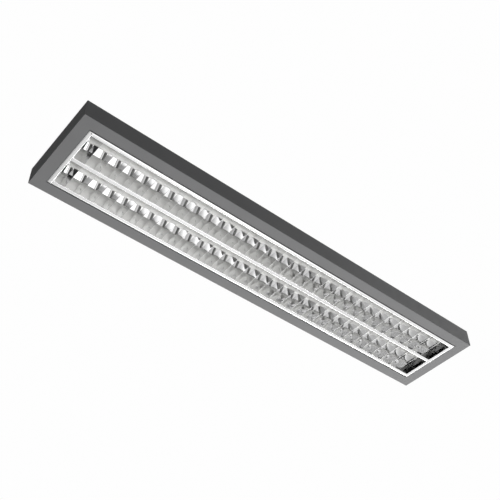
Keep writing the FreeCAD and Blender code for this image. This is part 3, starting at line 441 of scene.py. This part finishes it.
def blade_part(x0, yc):
    """One V folded blade with a rounded lower fold, and its tabs."""
    part = ([], [])
    hs = [BLOW + 0.35 + (BTOP - BLOW - 0.35) * i / 16.0 for i in range(17)]
    rightside = [(blade_at(h) - 0.15, h) for h in hs]
    fold = [(-0.26, BLOW + 0.3), (-0.17, BLOW + 0.18), (0.0, BLOW + 0.14), (0.17, BLOW + 0.18), (0.26, BLOW + 0.3)]
    line = [(-a, h) for a, h in reversed(rightside)] + fold[1:-1] + rightside
    outer = offset_line(line, -0.14)
    inner = offset_line(line, 0.14)
    n = len(line)

    def half(h):
        return wall_at(h) - 0.1
    verts = []
    for s in (-1, 1):
        for ln in (outer, inner):
            verts += [(x0 + a, yc + s * half(h), h - H) for a, h in ln]
    faces = []
    for i in range(n - 1):
        faces.append((i, i + 1, 2 * n + i + 1, 2 * n + i))
        faces.append((n + i, 3 * n + i, 3 * n + i + 1, n + i + 1))
        back_faces.add(len(part[1]) + len(faces) - 1 + blade_base[0])
        faces.append((i, n + i, n + i + 1, i + 1))
        faces.append((2 * n + i, 2 * n + i + 1, 3 * n + i + 1, 3 * n + i))
    faces.append((0, 2 * n, 3 * n, n))
    faces.append((n - 1, 2 * n - 1, 4 * n - 1, 3 * n - 1))
    add(part, (verts, faces))
    for s in (-1, 1):
        for d in (-1, 1):
            v = []
            for h in (15.3, 22.7):
                for a in (-0.29, -0.01):
                    for y in (half(h) - 0.2, 36.9):
                        v.append((x0 + d * (blade_at(h) + a), yc + s * y, h - H))
            add(part, (v, [(0, 1, 3, 2), (4, 6, 7, 5), (0, 4, 5, 1), (2, 3, 7, 6), (0, 2, 6, 4), (1, 5, 7, 3)]))
    return part


for name, sg in (("near", -1), ("far", 1)):
    whole = ([], [])
    back_faces.clear()
    for x in XB:
        blade_base[0] = len(whole[1])
        add(whole, blade_part(x, sg * ROWY))
    make("louvre_blades_" + name, whole[0], whole[1], mirror, "louvre", ["blades_" + name], smooth=32.0,
         second=(backside, lambda i, c: i in back_faces))

# ---------------------------------------------------------------- stage, light, camera
bpy.ops.mesh.primitive_plane_add(size=14.0, location=(0, 0, -2.3))
floor = bpy.context.object
floor.name = "floor"
fm, nt, b = material("pale_floor")
v = coords(nt)
nt.links.new(mottled(nt, v, 1.5, (0.78, 0.78, 0.77), (0.82, 0.82, 0.81)), b.inputs["Base Color"])
nt.links.new(remap(nt, noise(nt, v, 6.0), 0.6, 0.75), b.inputs["Roughness"])
floor.data.materials.append(fm)
floor.visible_glossy = False
floor.visible_diffuse = False
floor.visible_shadow = False

w = bpy.data.worlds.new("soft_light")
scene.world = w
w.use_nodes = True
nt = w.node_tree
bg = nt.nodes["Background"]
tc = node(nt, "ShaderNodeTexCoord")


# soft lights of the studio: direction, sharpness and strength of each
LOBES = [
    ((0.62, 0.76, -0.20), 36, 6.43),
    ((0.43, 0.85, -0.31), 36, 4.73),
    ((-0.49, 0.34, -0.81), 36, 4.20),
    ((0.92, 0.17, -0.34), 36, 3.28),
    ((0.88, 0.46, -0.08), 14, 3.19),
    ((-0.17, -0.80, -0.57), 36, 2.89),
    ((0.85, 0.04, -0.52), 36, 2.55),
    ((-0.60, -0.60, -0.53), 36, 2.51),
    ((-0.76, -0.50, -0.42), 36, 2.28),
    ((-0.41, -0.65, -0.64), 36, 2.20),
    ((-0.37, -0.81, -0.46), 36, 2.16),
    ((0.84, -0.26, 0.48), 14, 1.84),
    ((-0.56, 0.72, -0.40), 36, 1.66),
    ((0.09, 0.00, -1.00), 36, 1.43),
    ((0.83, 0.49, -0.27), 36, 1.41),
    ((0.35, 0.13, -0.93), 36, 1.22),
    ((-0.27, -0.05, -0.96), 36, 0.95),
    ((0.18, -0.38, -0.91), 36, 0.88),
    ((0.39, 0.33, -0.86), 36, 0.87),
    ((-0.72, -0.34, -0.60), 36, 0.76),
    ((0.58, -0.27, -0.77), 36, 0.61),
    ((0.59, 0.31, -0.75), 36, 0.54),
    ((0.31, 0.53, -0.79), 36, 0.50),
    ((0.30, 0.74, -0.61), 36, 0.44),
    ((0.23, -0.20, -0.95), 80, 0.80),
    ((0.48, 0.48, 0.73), 24, 14.00),
]


def soft_lights(lobes):
    """The sum of strength * exp(sharpness * (cosine to the light's direction - 1))."""
    total = None
    for axis, sharp, strength in lobes:
        dot = node(nt, "ShaderNodeVectorMath", operation="DOT_PRODUCT")
        dot.inputs[1].default_value = Vector(axis).normalized()
        nt.links.new(tc.outputs["Generated"], dot.inputs[0])
        arg = node(nt, "ShaderNodeMath", operation="MULTIPLY_ADD")
        arg.inputs[1].default_value = sharp
        arg.inputs[2].default_value = -sharp
        nt.links.new(dot.outputs["Value"], arg.inputs[0])
        power = node(nt, "ShaderNodeMath", operation="EXPONENT")
        nt.links.new(arg.outputs[0], power.inputs[0])
        acc = node(nt, "ShaderNodeMath", operation="MULTIPLY_ADD")
        acc.inputs[1].default_value = strength
        acc.inputs[2].default_value = 0.0
        nt.links.new(power.outputs[0], acc.inputs[0])
        if total is not None:
            nt.links.new(total, acc.inputs[2])
        total = acc.outputs[0]
    return total


backdrop = node(nt, "ShaderNodeMixRGB", blend_type="MIX")
nt.links.new(soft_lights(LOBES), backdrop.inputs["Color1"])
backdrop.inputs["Color2"].default_value = (0.99, 0.99, 0.99, 1.0)
lp = node(nt, "ShaderNodeLightPath")
nt.links.new(lp.outputs["Is Camera Ray"], backdrop.inputs["Fac"])
nt.links.new(backdrop.outputs["Color"], bg.inputs["Color"])
bg.inputs["Strength"].default_value = 1.0


F500 = 823.4669897
C = Vector((-1016.1467, -1108.2669, -1468.2388))
RX = Vector((0.7708199905278014, -0.6368879595545005, -0.014500661268546294))
RY = Vector((0.44231332809588425, 0.5514319346914344, -0.7073059742368958))
RZ = Vector((0.4584707864100642, 0.5387917486162596, 0.7067587916903266))
cd = bpy.data.cameras.new("camera")
cam = bpy.data.objects.new("camera", cd)
scene.collection.objects.link(cam)
scene.camera = cam
cam.matrix_world = Matrix(((RX.x, -RY.x, -RZ.x, C.x * MM), (RX.y, -RY.y, -RZ.y, C.y * MM),
                           (RX.z, -RY.z, -RZ.z, C.z * MM), (0, 0, 0, 1)))
cd.sensor_width = 36.0
cd.lens = F500 / 500.0 * 36.0
cd.clip_start, cd.clip_end = 0.01, 100.0

scene.view_settings.view_transform = "Standard"
scene.view_settings.look = "None"
scene.cycles.max_bounces = 24
scene.cycles.glossy_bounces = 20
scene.cycles.diffuse_bounces = 6
